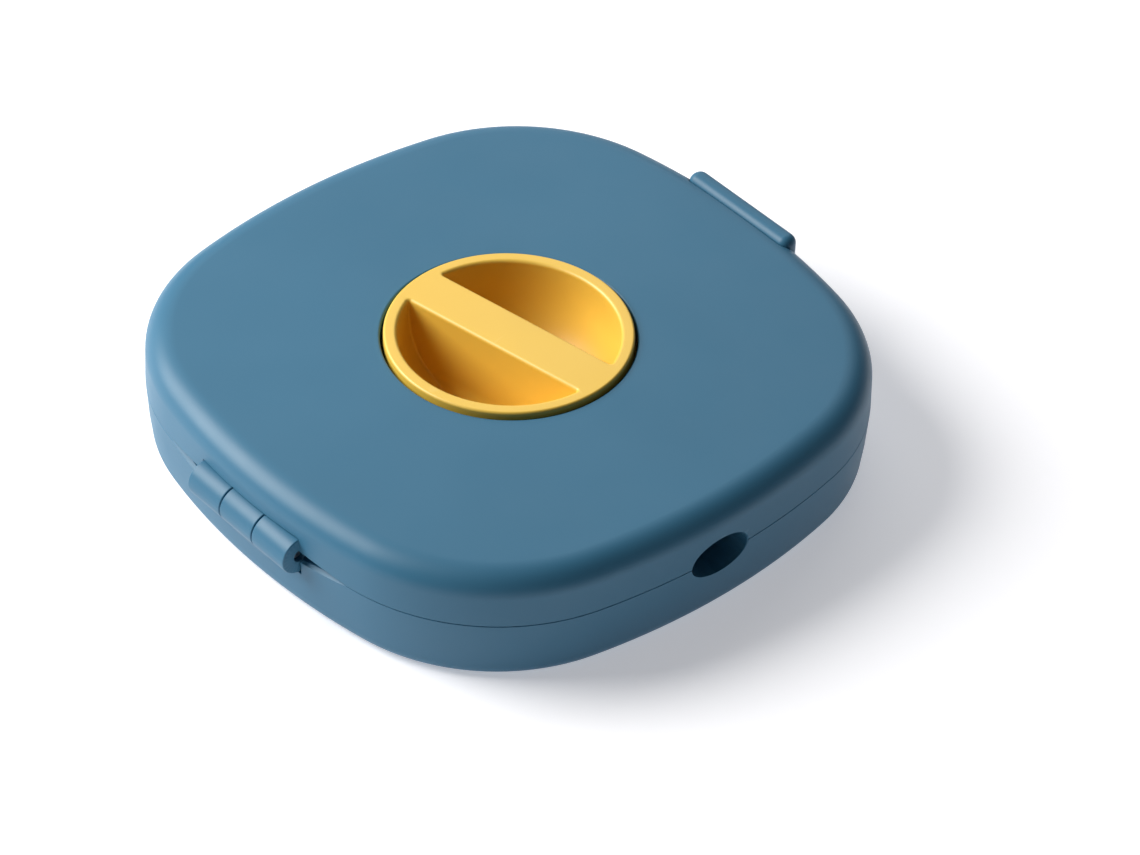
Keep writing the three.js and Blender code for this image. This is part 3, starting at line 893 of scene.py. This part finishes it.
def floor_paper():
    """Pale studio paper that glows a little, which lifts the shadows as a light tent does."""
    nodes = Nodes("floor_paper")
    paper, paler = (0.83, 0.83, 0.845), (0.85, 0.85, 0.865)
    fibre = nodes.noise(600, 4)
    nodes.link(nodes.blend(nodes.spread(fibre, 0, 1), paper, paler), nodes.shader.inputs["Base Color"])
    nodes.shader.inputs["Roughness"].default_value = 0.9
    nodes.shader.inputs["Specular IOR Level"].default_value = 0.1
    nodes.shader.inputs["Emission Color"].default_value = (0.96, 0.96, 1.0, 1)
    nodes.shader.inputs["Emission Strength"].default_value = 0.40
    nodes.link(nodes.bump(fibre, 0.00002, 0.3), nodes.shader.inputs["Normal"])
    return nodes.material


# The third colour of each plastic is the lighter colour of the painted edge highlight.
CASE_BLUE = moulded_plastic(
    "case_blue", (0.036, 0.152, 0.256), (0.033, 0.143, 0.242), (0.08, 0.22, 0.33), 0.46, 0.4
)
REEL_YELLOW = moulded_plastic(
    "reel_yellow", (0.86, 0.55, 0.070), (0.84, 0.53, 0.062), (0.90, 0.63, 0.16), 0.47, 0.85
)
STEEL = drawn_steel()


# ---- assembly ----
def finish_piece(piece, material, body, nodes, softness=0.0):
    """Shades a piece, gives it its material and ties it to the CAD."""
    if softness:
        soften(piece, softness)
    shade(piece)
    piece.data.materials.clear()
    piece.data.materials.append(material)
    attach(piece, body)
    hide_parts(*nodes)


finish_piece(make_base(), CASE_BLUE, "base", ["base_shell"])
finish_piece(make_lid(), CASE_BLUE, "lid", ["lid_shell"])
finish_piece(make_latch(), CASE_BLUE, "latch", ["latch_tongue"], 0.25)
finish_piece(make_drum(), REEL_YELLOW, "reel", ["reel_drum"])
finish_piece(make_flange(), REEL_YELLOW, "reel", ["reel_flange"])
finish_piece(make_pin(), STEEL, "base", ["hinge_pin"])
finish_piece(make_washer(), STEEL, "reel", ["axle_washer"])
finish_piece(make_screw("axle_screw", 2.6, 0.9, 0), STEEL, "reel", ["axle_screw"])
for number, offset in ((1, -SCREW_OFFSET), (2, SCREW_OFFSET)):
    node = f"reel_screw_{number}"
    finish_piece(make_screw(node, 1.75, 0.9, offset), STEEL, "reel", [node])


# ---- studio ----
def make_floor():
    size = 3000
    corners = [(-size, -size, 0), (size, -size, 0), (size, size, 0), (-size, size, 0)]
    floor = piece_from("floor", corners, [(0, 1, 2, 3)])
    floor.data.materials.append(floor_paper())


def softbox(name, heading, rise, distance, size, power, colour):
    """A round soft light seen from the box along a heading (x, y), at a rise in degrees."""
    light = bpy.data.lights.new(name, "AREA")
    light.shape = "DISK"
    light.size = size
    light.energy = power
    light.color = colour
    lamp = bpy.data.objects.new(name, light)
    bpy.context.scene.collection.objects.link(lamp)
    level = Vector((*heading, 0)).normalized() * math.cos(math.radians(rise))
    away = level + Vector((0, 0, math.sin(math.radians(rise))))
    lamp.location = away * distance
    lamp.rotation_mode = "QUATERNION"
    lamp.rotation_quaternion = (-away).to_track_quat("-Z", "Y")


def make_world():
    world = bpy.data.worlds.new("studio")
    world.use_nodes = True
    background = world.node_tree.nodes["Background"]
    background.inputs["Color"].default_value = (0.90, 0.93, 1.0, 1)
    background.inputs["Strength"].default_value = 0.08
    bpy.context.scene.world = world


def make_camera():
    """A long lens from above the hinge-side front corner, rolled a little as it was held."""
    azimuth, elevation, roll = (math.radians(a) for a in (-42.045, 40.738, 2.004))
    distance = 674.7
    target = Vector((-1.21, -15.05, 11.875))
    back = Vector((
        math.sin(azimuth) * math.cos(elevation),
        -math.cos(azimuth) * math.cos(elevation),
        math.sin(elevation),
    ))
    level = Vector((math.cos(azimuth), math.sin(azimuth), 0))
    upright = back.cross(level)
    right = level * math.cos(roll) + upright * math.sin(roll)
    up = upright * math.cos(roll) - level * math.sin(roll)
    data = bpy.data.cameras.new("camera")
    data.lens = 149.86
    data.sensor_width = 36
    data.clip_start, data.clip_end = 0.01, 20
    camera = bpy.data.objects.new("camera", data)
    bpy.context.scene.collection.objects.link(camera)
    turn = Matrix((right, up, back)).transposed().to_4x4()
    camera.matrix_world = Matrix.Translation((target + back * distance) * MM) @ turn
    bpy.context.scene.camera = camera


make_floor()
make_world()
softbox("key", (-0.60, 0.80), 38, 0.6, 0.46, 5.9, (1, 0.985, 0.96))
softbox("backdrop_glow", (0.669, 0.743), 38, 1.3, 1.3, 5.0, (0.97, 0.985, 1))
make_camera()
bpy.context.scene.view_settings.view_transform = "Standard"
